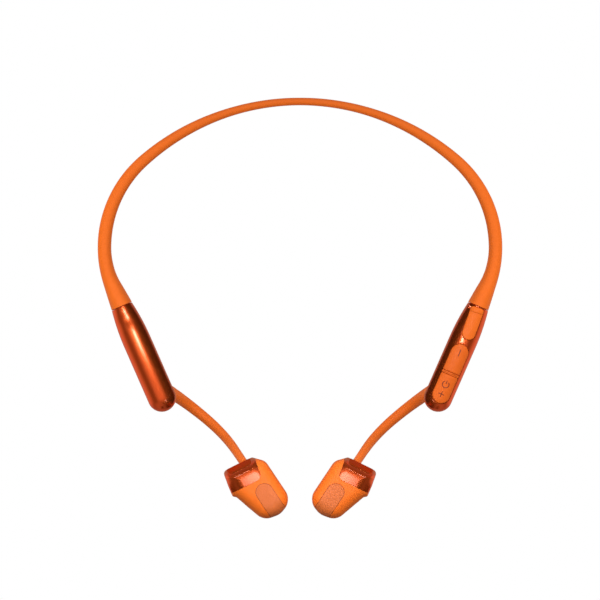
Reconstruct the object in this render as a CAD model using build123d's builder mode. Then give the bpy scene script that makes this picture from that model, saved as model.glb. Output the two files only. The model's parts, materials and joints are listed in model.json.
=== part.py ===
from build123d import *

import math
import os

# Bone conduction headphones, in millimetres.
# The frame is the one of a standing wearer: +Z is up, the wearer faces -Y and the wearer's left is +X.
# The neckband lies at the back (+Y), a pod sits behind each ear, a hook arches over each ear and
# carries a transducer in front of it. Everything is modelled on the left, and mirrored to the right.

os.makedirs("parts", exist_ok=True)

# ---------------------------------------------------------------- driving dimensions
housing_x = 64.35  # centre of the pod's rear end
housing_y = 0.58
housing_angle = 23.7  # the pod leans towards the middle
housing_length = 41.1
housing_width = 10.2
housing_rear_width = 7.8
housing_taper = 14.0  # length over which the pod reaches its full width
housing_bottom = 2.5
housing_height = 13.5
housing_round = 3.7
housing_wall = 1.2

band_back_y = 74.2  # rear centre of the band's midline
band_back_z = 2.1
band_radii = (85.0, 42.0, 33.5)
band_first_turn = 41.5
band_straight = 8.3
# share of the half band from the rear centre, thickness, height
band_sections = (
    (0.00, 2.7, 4.2),
    (0.20, 3.0, 4.3),
    (0.40, 3.8, 4.6),
    (0.60, 4.5, 5.0),
    (0.76, 4.9, 5.6),
    (0.85, 5.0, 6.8),
    (0.92, 5.8, 9.0),
    (0.96, 6.9, 11.6),
    (1.00, 7.8, 13.5),
)
section_round = 0.46  # corner radius as a share of the section's smaller side

wire_radius = 0.55
cable_radius = 0.45
wire_offset = 0.8  # wire below and cable above the middle of a sleeve
anchor_inside = 1.9  # the band's ferrule, from the joint with the pod
anchor_outside = 5.0
anchor_width = 2.6
anchor_height = 4.4
anchor_round = 0.4
anchor_cover = 0.2
crimp_side = 2.5
crimp_round = 0.5
crimp_cover = 0.4
crimp_clearance = 0.12
rear_crimp_length = 1.8
front_crimp_length = 2.5

# points of the hook's midline, from inside the pod to inside the transducer
hook_points = (
    (50.2, -29.0, 13.0),
    (49.3, -29.8, 25.0),
    (45.4, -32.5, 36.5),
    (39.4, -37.1, 42.6),
    (32.7, -42.6, 41.6),
    (26.9, -48.2, 35.0),
    (23.3, -52.4, 25.0),
    (18.6, -58.4, 8.5),
)
# share of the hook's length, width across, depth
hook_sections = (
    (0.00, 5.4, 8.4),
    (0.14, 5.2, 7.2),
    (0.30, 4.4, 5.6),
    (0.48, 3.8, 4.6),
    (0.66, 3.4, 4.0),
    (0.82, 3.1, 3.6),
    (1.00, 3.1, 3.6),
)

transducer_x = 15.0
transducer_y = -65.0
transducer_length_dir = (-0.556, -0.831)  # along the face that lies on the cheek
transducer_height = 16.5
transducer_round = 2.9
# plan outline in the transducer's own plane: length, depth, corner radius
transducer_outline = (
    (-11.96, 7.63, 3.2),
    (-10.41, -4.32, 3.2),
    (-6.63, -7.43, 4.0),
    (11.09, -7.43, 4.4),
    (11.64, 4.60, 5.2),
    (-3.22, 8.67, 6.0),
)
# the glossy cap's region of that outline
cap_corner = (-2.55, -3.3)
cap_corner_radius = 2.0
cap_reach = 12.5
cap_slant = 1.85
cap_drop = 3.0
skin_thickness = 0.9
case_thickness = 0.9
cap_wall = 1.1

plate_length = 9.8
plate_height = 9.0
plate_thickness = 1.1
plate_proud = 0.1
plate_bottom = 2.3
plate_round = 2.6
plate_chamfer = 0.3

grille_width = 6.3
grille_start = -1.0  # round end of the pill, along the transducer
grille_depth = -1.26
grille_reach = 14.0
grille_top = 6.0
vent_pitch = 2.2
vent_radius = 0.35
vent_count = 4

motor_length = 2.0  # the motor's centre along the transducer
motor_z = 8.2
yoke_radius = 5.3
yoke_wall = 1.0
yoke_base = 1.2
yoke_height = 4.8
yoke_rim_depth = -4.0  # the rim looks towards the cheek
magnet_radius = 3.4
magnet_height = 2.4
coil_inner = 3.7
coil_outer = 4.0
coil_height = 2.1
disc_radius = 6.0
disc_thickness = 0.3
motor_gap = 0.9
spring_gap = 0.2

fit_gap = 0.12
port_length = 12.0
port_width = 4.9
port_start = 0.75
port_side = 0.13
port_turn = -3.7
port_flap = 1.0
usb_length = 8.94
usb_width = 3.26
usb_wall = 0.3
usb_depth = 6.9
usb_bottom = 4.1
tongue_length = 6.7
tongue_width = 0.7
plug_length = 7.4
plug_width = 1.7
plug_height = 0.9
plug_root = 0.1
tongue_clearance = 0.5
frame_clearance = 0.15
frame_ledge = 0.3
frame_thickness = 1.6
frame_shorter = 1.6
frame_wider = 0.6

pill_start = 14.9
pill_length = 22.8
pill_width = 6.5
pill_side = -0.35
key_cover = 1.0
bar_width = 0.9
stem_radius = 0.9
stem_length = 1.5
stem_clearance = 0.2
bar_gap = 0.1
seat_margin = 0.8
seat_length = 22.4
seat_width = 4.4
foot_width = 2.4
seat_bottom = 4.1
seat_thickness = 0.8
key_board_z = 6.9
key_board_length = 17.0
key_board_width = 5.0
key_board_thickness = 0.6
switch_side = 3.0
switch_height = 1.5
switch_round = 0.3

board_z = 11.0
board_thickness = 0.8
board_length = 33.0
board_width = 5.8
board_start = 2.3
board_round = 1.0
antenna_start = 20.0
antenna_length = 9.0
antenna_width = 2.2
antenna_height = 1.0
protection_start = 3.2
protection_length = 6.2
foam_length = 2.6
foam_width = 4.4
foam_height = 6.4
foam_round = 0.5
foam_gap = 0.1

cell_length = 24.0
cell_width = 6.6
cell_height = 7.5
cell_bottom = 4.6
cell_start = 10.0
cell_round = 1.4

button_width = 9.0
button_height = 7.0
button_thickness = 1.4
button_switch = 3.2
button_round = 3.0
button_stem = 0.6
button_hole_depth = 3.0
switch_depth = 2.6
switch_thickness = 1.0
bracket_thickness = 0.5
bracket_width = 8.6
bracket_height = 7.0
bracket_round = 1.0
mic_length = 2.6
mic_width = 2.2
mic_height = 0.8
mic_shift = 1.8
mic_gap = 0.1

# ---------------------------------------------------------------- working planes
lean = math.radians(housing_angle)
left_housing = Plane(
    origin=(housing_x, housing_y, 0),
    x_dir=(-math.sin(lean), -math.cos(lean), 0),
    z_dir=(0, 0, 1),
)
right_housing = Plane(
    origin=(-housing_x, housing_y, 0),
    x_dir=(math.sin(lean), -math.cos(lean), 0),
    z_dir=(0, 0, 1),
)
housing_axis = Axis(left_housing.origin, left_housing.x_dir)
housing_top = housing_bottom + housing_height
housing_middle = housing_bottom + housing_height / 2

band_tilt = math.atan2(housing_middle - band_back_z, band_back_y - housing_y)
band_plane = Plane(
    origin=(0, housing_y, housing_middle),
    x_dir=(1, 0, 0),
    z_dir=(0, math.sin(band_tilt), math.cos(band_tilt)),
)
band_back = (band_back_y - housing_y) / math.cos(band_tilt)

transducer_plane = Plane(
    origin=(transducer_x, transducer_y, 0),
    x_dir=(*transducer_length_dir, 0),
    z_dir=(0, 0, 1),
)


def write(builder, name):
    """Label a finished piece and write its STEP file."""
    builder.part.label = name
    export_step(builder.part, f"parts/{name}.step")


def write_mirrored(builder, name):
    """Write the mirror image of a left piece as a right one."""
    with BuildPart() as twin:
        mirror(builder.part, about=Plane.YZ)
    write(twin, name)


def write_pair(builder, name):
    """Write a left piece and its mirror image on the right."""
    write(builder, f"left_{name}")
    write_mirrored(builder, f"right_{name}")


def box_on(plane, start, length, width, bottom, height, side=0.0):
    """Block that runs along a plane's x direction, standing on a height."""
    with BuildPart() as block:
        with BuildSketch(plane.offset(bottom)):
            with Locations((start + length / 2, side)):
                Rectangle(length, width)
        extrude(amount=height)
    return block.part


def slot_on(plane, centre, length, width, bottom, height):
    """Upright column with a stadium outline."""
    with BuildPart() as column:
        with BuildSketch(plane.offset(bottom)):
            with Locations(centre):
                SlotOverall(length, width)
        extrude(amount=height)
    return column.part


def fillet_outline(points, radii):
    """Closed outline with rounded corners, as a face on the XY plane."""
    with BuildSketch() as outline:
        with BuildLine():
            FilletPolyline(*points, radius=radii, close=True)
        make_face()
    return outline.sketch


# ---------------------------------------------------------------- shapes used more than once
def housing_form(inset):
    """The whole pod with its surface moved inwards."""
    half = housing_width / 2
    rear_half = housing_rear_width / 2
    nose = housing_length - half
    with BuildPart() as form:
        with BuildSketch(left_housing.offset(housing_bottom + inset)):
            with BuildLine():
                Line((0, -rear_half), (0, rear_half))
                TangentArc((housing_taper, half), (0, rear_half), tangent=(-1, 0))
                Line((housing_taper, half), (nose, half))
                ThreePointArc((nose, half), (housing_length, 0), (nose, -half))
                Line((nose, -half), (housing_taper, -half))
                TangentArc((housing_taper, -half), (0, -rear_half), tangent=(-1, 0))
            make_face()
            if inset > 0:
                offset(amount=-inset, mode=Mode.REPLACE)
        extrude(amount=housing_height - 2 * inset)
        rims = form.faces().filter_by(Plane.XY).edges()
        fillet(rims.sort_by(housing_axis)[2:], radius=housing_round - inset)
    return form.part


def transducer_form(inset):
    """The whole transducer with its surface moved inwards."""
    corners = [(length, depth) for length, depth, _ in transducer_outline]
    radii = [radius for _, _, radius in transducer_outline]
    with BuildPart() as form:
        with BuildSketch(transducer_plane.offset(inset)):
            add(fillet_outline(corners, radii))
            if inset > 0:
                offset(amount=-inset, mode=Mode.REPLACE)
        extrude(amount=transducer_height - 2 * inset)
        rims = form.faces().filter_by(Plane.XY).edges()
        fillet(rims, radius=transducer_round - inset)
    return form.part


def cap_column():
    """Upright column that cuts the glossy cap's region out of the transducer."""
    corner_length, corner_depth = cap_corner
    corners = [
        (corner_length - cap_slant, cap_reach),
        cap_corner,
        (corner_length - cap_reach, corner_depth - cap_drop),
        (corner_length - cap_reach, cap_reach),
    ]
    with BuildPart() as column:
        with BuildSketch(transducer_plane.offset(-1)):
            add(fillet_outline(corners, [0, cap_corner_radius, 0, 0]))
        extrude(amount=transducer_height + 2)
    return column.part


def band_line():
    """Half of the band's midline, from the rear centre to the pod, in the band's own plane."""
    first, second, third = band_radii
    with BuildLine() as line:
        rear = JernArc((0, band_back), (1, 0), first, -band_first_turn)
        side = JernArc(rear @ 1, rear % 1, second, band_first_turn - 90)
        bend = JernArc(side @ 1, side % 1, third, -housing_angle)
        Line(bend @ 1, bend @ 1 + band_straight * (bend % 1))
    return line.wire()


def band_path(shift, extra):
    """Route of a wire in the band, some way above its midline and a little into both pods."""
    half = band_line()
    with BuildLine() as line:
        add(half)
        Line(half @ 1, half @ 1 + extra * (half % 1))
        mirror(line.line, about=Plane.YZ)
    return band_plane.offset(shift).from_local_coords(line.wire())


def section_plane(point, tangent, across):
    """Plane across a midline, with its x direction set."""
    return Plane(origin=point, x_dir=across, z_dir=tangent)


half_band = band_line()
hook_line = Spline(*hook_points)
hook_chord = hook_line @ 1 - hook_line @ 0
hook_side = Vector(hook_chord.Y, -hook_chord.X, 0).normalized()


def band_planes():
    """Cutting planes with thickness and height, from the right pod to the left one."""
    stations = []
    for share, thickness, height in band_sections:
        for sign in (-1, 1):
            if sign < 0 and share == 0:
                continue
            local = half_band @ share
            heading = half_band % share
            point = band_plane.from_local_coords((sign * local.X, local.Y, 0))
            step = (sign * (local.X + heading.X), local.Y + heading.Y, 0)
            tangent = (band_plane.from_local_coords(step) - point) * sign
            across = tangent.cross(band_plane.z_dir)
            stations.append((sign * share, section_plane(point, tangent, across), thickness, height))
    stations.sort(key=lambda station: station[0])
    return [station[1:] for station in stations]


def hook_plane(share):
    """Cutting plane across the hook, with its x direction nearly level."""
    tangent = hook_line % share
    across = hook_side - tangent * hook_side.dot(tangent)
    return section_plane(hook_line @ share, tangent, across)


def hook_strand(radius, shift):
    """Round strand inside the hook, off its midline."""
    with BuildPart() as strand:
        for share, _, _ in hook_sections:
            with BuildSketch(hook_plane(share)):
                with Locations((0, shift)):
                    Circle(radius)
        loft()
    return strand.part


# ---------------------------------------------------------------- neckband
core_path = band_path(-wire_offset, anchor_inside - anchor_cover)
with BuildPart() as neckband_core_wire:
    with BuildSketch(Plane(origin=core_path @ 0, z_dir=core_path % 0)):
        Circle(wire_radius)
    sweep(path=core_path)
write(neckband_core_wire, "neckband_core_wire")

cable_path = band_path(wire_offset, anchor_inside - anchor_cover)
with BuildPart() as neckband_cable:
    with BuildSketch(Plane(origin=cable_path @ 0, z_dir=cable_path % 0)):
        Circle(cable_radius)
    sweep(path=cable_path)
write(neckband_cable, "neckband_cable")

# A flat ferrule on the wire's end spans the joint between the sleeve and the pod.
with BuildPart() as band_anchor:
    add(
        box_on(
            left_housing,
            -anchor_outside,
            anchor_outside + anchor_inside,
            anchor_width,
            housing_middle - anchor_height / 2,
            anchor_height,
        )
    )
    fillet(band_anchor.edges().filter_by(Axis.Z), radius=anchor_round)
    add(neckband_core_wire.part, mode=Mode.SUBTRACT)
    add(neckband_cable.part, mode=Mode.SUBTRACT)
write_pair(band_anchor, "band_anchor")

with BuildPart() as neckband_sleeve:
    for plane, thickness, height in band_planes():
        with BuildSketch(plane):
            RectangleRounded(thickness, height, section_round * min(thickness, height))
    loft()
    for pod_plane in (left_housing, right_housing):
        add(
            box_on(pod_plane, 0, housing_taper, 2 * housing_width, 0, 2 * housing_top),
            mode=Mode.SUBTRACT,
        )
    add(neckband_core_wire.part, mode=Mode.SUBTRACT)
    add(neckband_cable.part, mode=Mode.SUBTRACT)
    add(band_anchor.part, mode=Mode.SUBTRACT)
    mirror(band_anchor.part, about=Plane.YZ, mode=Mode.SUBTRACT)
write(neckband_sleeve, "neckband_sleeve")

# ---------------------------------------------------------------- ear hooks
with BuildPart() as hook_core_wire:
    add(hook_strand(wire_radius, -wire_offset))
write_pair(hook_core_wire, "hook_core_wire")

with BuildPart() as hook_cable:
    add(hook_strand(cable_radius, wire_offset))
write_pair(hook_cable, "hook_cable")

housing_outside = housing_form(0)
housing_inside = housing_form(housing_wall)
right_inside = mirror(housing_inside, about=Plane.YZ)
transducer_outside = transducer_form(0)

with BuildPart() as hook_sleeve:
    for share, across, depth in hook_sections:
        with BuildSketch(hook_plane(share)):
            Ellipse(across / 2, depth / 2)
    loft()
    add(housing_outside, mode=Mode.SUBTRACT)
    add(transducer_outside, mode=Mode.SUBTRACT)
    add(hook_core_wire.part, mode=Mode.SUBTRACT)
    add(hook_cable.part, mode=Mode.SUBTRACT)
write_pair(hook_sleeve, "hook_sleeve")

wire_bore = hook_strand(wire_radius + crimp_clearance, -wire_offset)
cable_bore = hook_strand(cable_radius + crimp_clearance, wire_offset)
for crimp_name, crimp_share, crimp_length, cover in (
    ("hook_rear_anchor", 0, rear_crimp_length, -crimp_cover),
    ("hook_front_anchor", 1, -front_crimp_length, crimp_cover),
):
    with BuildPart() as crimp:
        with BuildSketch(hook_plane(crimp_share).offset(cover)):
            RectangleRounded(crimp_side, crimp_side, crimp_round)
        extrude(amount=crimp_length)
        add(wire_bore, mode=Mode.SUBTRACT)
        add(cable_bore, mode=Mode.SUBTRACT)
    write_pair(crimp, crimp_name)

# ---------------------------------------------------------------- pods
with BuildPart() as housing_skin:
    add(housing_outside)
    add(housing_inside, mode=Mode.SUBTRACT)
    add(band_anchor.part, mode=Mode.SUBTRACT)
    add(neckband_core_wire.part, mode=Mode.SUBTRACT)
    add(neckband_cable.part, mode=Mode.SUBTRACT)
    add(hook_core_wire.part, mode=Mode.SUBTRACT)
    add(hook_cable.part, mode=Mode.SUBTRACT)

seam = Plane.XY.offset(housing_middle)
with BuildPart() as housing_lid:
    add(housing_skin.part)
    split(bisect_by=seam, keep=Keep.TOP)
write_pair(housing_lid, "housing_lid")

with BuildPart() as left_housing_shell:
    add(housing_skin.part)
    split(bisect_by=seam, keep=Keep.BOTTOM)
write(left_housing_shell, "left_housing_shell")

port_plane = right_housing.rotated((0, 0, port_turn))
port_centre = (port_start + port_length / 2, port_side)
pill_centre = (pill_start + pill_length / 2, pill_side)
column_bottom = housing_bottom - 1
column_height = 4.0
port_hole = slot_on(
    port_plane,
    port_centre,
    port_length + 2 * fit_gap,
    port_width + 2 * fit_gap,
    column_bottom,
    column_height,
)
pill_hole = slot_on(
    right_housing,
    pill_centre,
    pill_length + 2 * fit_gap,
    pill_width + 2 * fit_gap,
    column_bottom,
    column_height,
)
with BuildPart() as right_housing_shell:
    mirror(left_housing_shell.part, about=Plane.YZ)
    add(port_hole, mode=Mode.SUBTRACT)
    add(pill_hole, mode=Mode.SUBTRACT)
write(right_housing_shell, "right_housing_shell")

# The soft flap and both keys are cut from a layer that follows the pod's underside.
with BuildPart() as underside_layer:
    mirror(housing_outside, about=Plane.YZ)
    mirror(housing_form(port_flap), about=Plane.YZ, mode=Mode.SUBTRACT)

with BuildPart() as port_cover:
    add(underside_layer.part)
    add(
        slot_on(port_plane, port_centre, port_length, port_width, column_bottom, column_height),
        mode=Mode.INTERSECT,
    )
    with BuildSketch(port_plane.offset(housing_bottom + port_flap - plug_root)):
        with Locations(port_centre):
            SlotOverall(plug_length, plug_width)
    extrude(amount=usb_bottom + plug_height - housing_bottom - port_flap)
write(port_cover, "port_cover")

frame_bottom = housing_bottom + port_flap + frame_clearance + frame_ledge
with BuildPart() as port_frame:
    add(
        slot_on(
            port_plane,
            port_centre,
            port_length - frame_shorter,
            port_width + frame_wider,
            frame_bottom,
            frame_thickness,
        )
    )
    add(right_inside, mode=Mode.INTERSECT)
    with BuildSketch(port_plane.offset(frame_bottom)):
        with Locations(port_centre):
            SlotOverall(usb_length + plug_root, usb_width + plug_root)
    extrude(amount=frame_thickness, mode=Mode.SUBTRACT)
write(port_frame, "port_frame")

with BuildPart() as usb_c_shell:
    with BuildSketch(port_plane.offset(usb_bottom)):
        with Locations(port_centre):
            SlotOverall(usb_length, usb_width)
            SlotOverall(usb_length - 2 * usb_wall, usb_width - 2 * usb_wall, mode=Mode.SUBTRACT)
    extrude(amount=usb_depth)
    with BuildSketch(port_plane.offset(usb_bottom + usb_depth - usb_wall)):
        with Locations(port_centre):
            SlotOverall(usb_length, usb_width)
    extrude(amount=usb_wall)
write(usb_c_shell, "usb_c_shell")

with BuildPart() as usb_c_tongue:
    with BuildSketch(port_plane.offset(usb_bottom + plug_height + tongue_clearance)):
        with Locations(port_centre):
            Rectangle(tongue_length, tongue_width)
    extrude(amount=usb_depth - usb_wall - plug_height - tongue_clearance)
write(usb_c_tongue, "usb_c_tongue")

# ---------------------------------------------------------------- volume keys
pill_middle = pill_start + pill_length / 2
bar_edge = bar_width / 2 + bar_gap
pill_column = slot_on(
    right_housing, pill_centre, pill_length, pill_width, column_bottom, column_height
)
key_names = ("volume_down_key", "volume_up_power_key")
key_starts = (pill_start, pill_middle + bar_edge)
key_length = pill_length / 2 - bar_edge
key_middles = [start + key_length / 2 for start in key_starts]
for key_name, key_start, key_middle in zip(key_names, key_starts, key_middles):
    with BuildPart() as key:
        add(underside_layer.part)
        add(pill_column, mode=Mode.INTERSECT)
        add(
            box_on(right_housing, key_start, key_length, 2 * pill_width, 0, 2 * column_height),
            mode=Mode.INTERSECT,
        )
        with BuildSketch(right_housing.offset(housing_bottom + key_cover / 2)):
            with Locations((key_middle, pill_side)):
                Circle(stem_radius)
        extrude(amount=key_cover / 2 + stem_length)
    write(key, key_name)

foot_bottom = housing_bottom + housing_wall
with BuildPart() as key_frame:
    add(underside_layer.part)
    add(pill_column, mode=Mode.INTERSECT)
    add(
        box_on(
            right_housing,
            pill_middle - bar_width / 2,
            bar_width,
            2 * pill_width,
            0,
            2 * column_height,
        ),
        mode=Mode.INTERSECT,
    )
    add(
        box_on(
            right_housing,
            pill_middle - bar_width / 2,
            bar_width,
            foot_width,
            housing_bottom + key_cover / 2,
            seat_bottom - housing_bottom,
            pill_side,
        )
    )
    add(
        box_on(
            right_housing,
            pill_start - seat_margin,
            seat_length,
            seat_width,
            seat_bottom,
            seat_thickness,
            pill_side,
        )
    )
    add(
        box_on(
            right_housing,
            pill_start - seat_margin,
            seat_margin - fit_gap - bar_gap,
            foot_width,
            foot_bottom,
            seat_bottom - foot_bottom,
        )
    )
    with BuildSketch(right_housing.offset(seat_bottom)):
        for key_middle in key_middles:
            with Locations((key_middle, pill_side)):
                Circle(stem_radius + stem_clearance)
    extrude(amount=seat_thickness, mode=Mode.SUBTRACT)
write(key_frame, "key_frame")

with BuildPart() as key_board:
    add(
        box_on(
            right_housing,
            pill_middle - key_board_length / 2,
            key_board_length,
            key_board_width,
            key_board_z,
            key_board_thickness,
        )
    )
write(key_board, "key_board")

with BuildPart() as key_switches:
    with BuildSketch(right_housing.offset(key_board_z - switch_height)):
        for key_middle in key_middles:
            with Locations((key_middle, pill_side)):
                RectangleRounded(switch_side, switch_side, switch_round)
    extrude(amount=switch_height)
write(key_switches, "key_switches")

# ---------------------------------------------------------------- electronics and battery
with BuildPart() as circuit_board:
    add(box_on(right_housing, board_start, board_length, board_width, board_z, board_thickness))
    fillet(circuit_board.edges().filter_by(Axis.Z), radius=board_round)
write(circuit_board, "circuit_board")

with BuildPart() as antenna:
    add(
        box_on(
            right_housing,
            antenna_start,
            antenna_length,
            antenna_width,
            board_z + board_thickness,
            antenna_height,
        )
    )
write(antenna, "antenna")

with BuildPart() as battery_cell:
    add(box_on(left_housing, cell_start, cell_length, cell_width, cell_bottom, cell_height))
    fillet(
        battery_cell.faces().filter_by(Plane.XY).edges().filter_by(
            lambda edge: abs(edge.tangent_at(0).dot(left_housing.x_dir)) > 0.9
        ),
        radius=cell_round,
    )
write(battery_cell, "battery_cell")

with BuildPart() as battery_board:
    add(
        box_on(
            left_housing,
            protection_start,
            protection_length,
            board_width,
            housing_middle,
            board_thickness,
        )
    )
write(battery_board, "battery_board")

with BuildPart() as battery_foam:
    add(
        box_on(
            left_housing,
            cell_start + cell_length + foam_gap,
            foam_length,
            foam_width,
            housing_middle - foam_height / 2,
            foam_height,
        )
    )
    fillet(battery_foam.edges(), radius=foam_round)
write(battery_foam, "battery_foam")

# ---------------------------------------------------------------- transducer shells
cap_region = cap_column()
transducer_liner = transducer_form(skin_thickness)
transducer_cavity = transducer_form(skin_thickness + case_thickness)


def on_outline(first, second):
    """Middle and outward direction of one straight side of the transducer's plan."""
    length_1, depth_1, _ = transducer_outline[first]
    length_2, depth_2, _ = transducer_outline[second]
    start = transducer_plane.from_local_coords((length_1, depth_1, 0))
    end = transducer_plane.from_local_coords((length_2, depth_2, 0))
    along = (end - start).normalized()
    return (start + end) / 2, along, along.cross(Vector(0, 0, 1))


plate_middle, plate_along, plate_out = on_outline(0, 1)
plate_plane = Plane(
    origin=plate_middle + Vector(0, 0, plate_bottom + plate_height / 2),
    x_dir=plate_along,
    z_dir=-plate_out if plate_out.Y < 0 else plate_out,
)
with BuildPart() as transducer_plate:
    with BuildSketch(plate_plane.offset(plate_proud)):
        RectangleRounded(plate_length, plate_height, plate_round)
    extrude(amount=-plate_thickness)
    plate_face = transducer_plate.faces().sort_by(Axis(plate_middle, plate_plane.z_dir))[-1]
    chamfer(plate_face.edges(), plate_chamfer)
write_pair(transducer_plate, "transducer_plate")

with BuildPart() as transducer_cap:
    add(transducer_outside)
    add(cap_region, mode=Mode.INTERSECT)
    add(transducer_form(cap_wall), mode=Mode.SUBTRACT)
    with BuildSketch(plate_plane.offset(1)):
        RectangleRounded(plate_length, plate_height, plate_round)
    extrude(amount=-plate_thickness - 1 + plate_proud, mode=Mode.SUBTRACT)
    add(hook_core_wire.part, mode=Mode.SUBTRACT)
    add(hook_cable.part, mode=Mode.SUBTRACT)
write_pair(transducer_cap, "transducer_cap")

grille_length = grille_reach - grille_start
grille_column = slot_on(
    transducer_plane,
    (grille_start + grille_length / 2, grille_depth),
    grille_length,
    grille_width,
    -1,
    grille_top + 1,
)
with BuildPart() as skin_layer:
    add(transducer_outside)
    add(transducer_liner, mode=Mode.SUBTRACT)
    add(cap_region, mode=Mode.SUBTRACT)

with BuildPart() as vent_grille:
    add(skin_layer.part)
    add(grille_column, mode=Mode.INTERSECT)
    with BuildSketch(transducer_plane.offset(-1)):
        for index in range(vent_count):
            with Locations((grille_start + (index + 1) * vent_pitch, grille_depth)):
                Circle(vent_radius)
    extrude(amount=3, mode=Mode.SUBTRACT)
write_pair(vent_grille, "vent_grille")

with BuildPart() as left_transducer_skin:
    add(skin_layer.part)
    add(grille_column, mode=Mode.SUBTRACT)
write_mirrored(left_transducer_skin, "right_transducer_skin")

with BuildPart() as left_transducer_case:
    add(transducer_liner)
    add(transducer_cavity, mode=Mode.SUBTRACT)
    add(cap_region, mode=Mode.SUBTRACT)
write_mirrored(left_transducer_case, "right_transducer_case")

# ---------------------------------------------------------------- multifunction button
button_middle, button_along, button_out = on_outline(4, 5)
button_plane = Plane(
    origin=button_middle + Vector(0, 0, motor_z),
    x_dir=button_along,
    z_dir=button_out if button_out.X > 0 else -button_out,
)
with BuildPart() as multifunction_button:
    with BuildSketch(button_plane):
        RectangleRounded(button_width, button_height, button_round)
    extrude(amount=-button_thickness)
    with BuildSketch(button_plane.offset(-button_thickness)):
        Circle(stem_radius)
    extrude(amount=-button_stem)
write(multifunction_button, "multifunction_button")

with BuildPart() as button_hole:
    with BuildSketch(button_plane.offset(-button_hole_depth)):
        RectangleRounded(button_width + 2 * fit_gap, button_height + 2 * fit_gap, button_round)
    extrude(amount=button_hole_depth + 1)

for shell, shell_name in (
    (left_transducer_skin, "left_transducer_skin"),
    (left_transducer_case, "left_transducer_case"),
):
    with BuildPart() as opened:
        add(shell.part)
        add(button_hole.part, mode=Mode.SUBTRACT)
    write(opened, shell_name)

with BuildPart() as multifunction_switch:
    with BuildSketch(button_plane.offset(-switch_depth)):
        RectangleRounded(button_switch, button_switch, switch_round)
    extrude(amount=-switch_thickness)
    with BuildSketch(button_plane.offset(-switch_depth - switch_thickness)):
        RectangleRounded(bracket_width, bracket_height, bracket_round)
    extrude(amount=-bracket_thickness)
write(multifunction_switch, "multifunction_switch")

# ---------------------------------------------------------------- bone conduction motor
depth_dir = transducer_plane.y_dir
motor_origin = transducer_plane.from_local_coords((motor_length, 0, motor_z))
motor_plane = Plane(origin=motor_origin, x_dir=transducer_plane.x_dir, z_dir=depth_dir)


def write_motor_disc(name, start, height, radius, hole=0.0):
    """Disc or ring round the motor's axis, from one depth outwards."""
    with BuildPart() as disc:
        with BuildSketch(motor_plane.offset(start)):
            Circle(radius)
            if hole > 0:
                Circle(hole, mode=Mode.SUBTRACT)
        extrude(amount=height)
    write_pair(disc, name)


coil_start = yoke_rim_depth - motor_gap
yoke_back = yoke_rim_depth + yoke_height
magnet_start = yoke_back - yoke_base - magnet_height
write_motor_disc("vibration_plate", coil_start - disc_thickness, disc_thickness, disc_radius)
write_motor_disc("voice_coil", coil_start, coil_height, coil_outer, coil_inner)
write_motor_disc("magnet", magnet_start, magnet_height, magnet_radius)
write_motor_disc("suspension_spring", yoke_back + spring_gap, disc_thickness, disc_radius, 1.5)

with BuildPart() as magnet_yoke:
    with BuildSketch(motor_plane.offset(yoke_rim_depth)):
        Circle(yoke_radius)
    extrude(amount=yoke_height)
    with BuildSketch(motor_plane.offset(yoke_rim_depth)):
        Circle(yoke_radius - yoke_wall)
    extrude(amount=yoke_height - yoke_base, mode=Mode.SUBTRACT)
write_pair(magnet_yoke, "magnet_yoke")

# A small microphone sits behind the right grille.
with BuildPart() as left_image:
    add(
        box_on(
            transducer_plane,
            grille_start + vent_count * vent_pitch - mic_shift,
            mic_length,
            mic_width,
            skin_thickness + case_thickness + mic_gap,
            mic_height,
            grille_depth,
        )
    )
write_mirrored(left_image, "microphone")
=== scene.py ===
"""Looks of the bone conduction headphones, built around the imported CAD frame."""

import json
import math

import bmesh
import bpy
import numpy as np
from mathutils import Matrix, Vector

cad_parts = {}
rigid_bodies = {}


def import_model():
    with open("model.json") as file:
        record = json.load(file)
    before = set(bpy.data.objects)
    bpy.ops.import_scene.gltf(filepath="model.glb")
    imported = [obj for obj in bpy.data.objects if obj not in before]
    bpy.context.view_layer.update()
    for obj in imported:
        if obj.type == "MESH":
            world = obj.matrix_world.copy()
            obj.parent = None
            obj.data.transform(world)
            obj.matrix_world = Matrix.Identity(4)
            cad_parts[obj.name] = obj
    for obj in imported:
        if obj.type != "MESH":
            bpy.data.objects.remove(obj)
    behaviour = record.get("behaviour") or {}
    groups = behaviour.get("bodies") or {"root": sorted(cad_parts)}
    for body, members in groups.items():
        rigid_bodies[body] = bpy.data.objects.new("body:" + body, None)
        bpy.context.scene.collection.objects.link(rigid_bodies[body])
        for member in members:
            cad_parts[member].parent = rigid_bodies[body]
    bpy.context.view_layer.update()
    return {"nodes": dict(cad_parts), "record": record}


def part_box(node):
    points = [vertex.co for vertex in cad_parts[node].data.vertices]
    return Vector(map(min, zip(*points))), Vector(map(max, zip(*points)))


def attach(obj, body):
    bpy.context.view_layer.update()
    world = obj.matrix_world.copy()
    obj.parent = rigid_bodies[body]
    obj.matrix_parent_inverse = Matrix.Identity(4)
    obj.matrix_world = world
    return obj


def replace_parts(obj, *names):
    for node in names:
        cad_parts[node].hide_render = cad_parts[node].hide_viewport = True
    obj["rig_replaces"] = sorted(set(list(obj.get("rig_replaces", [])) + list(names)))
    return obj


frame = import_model()

MM = 0.001  # lengths below are in millimetres

# ---------------------------------------------------------------- measures shared with the CAD
HOUSING_ORIGIN = (64.35, 0.58)
HOUSING_ANGLE = math.radians(23.7)
HOUSING_LENGTH = 41.1
HOUSING_HALF_WIDTH = 5.1
HOUSING_REAR_HALF = 3.9
HOUSING_TAPER = 14.0
HOUSING_HALF_HEIGHT = 6.75
HOUSING_MIDDLE = 9.25
HOUSING_WALL = 1.2
SECTION_POWER = 2.3  # exponent of the pod's superellipse section
NOSE_POWER = 0.85  # how bluntly the pod's height falls towards its tip
DIP_PLACE, DIP_REACH, DIP_DEPTH = 5.2, 2.3, 0.5  # shallow dip of the left shell next to the band

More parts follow.
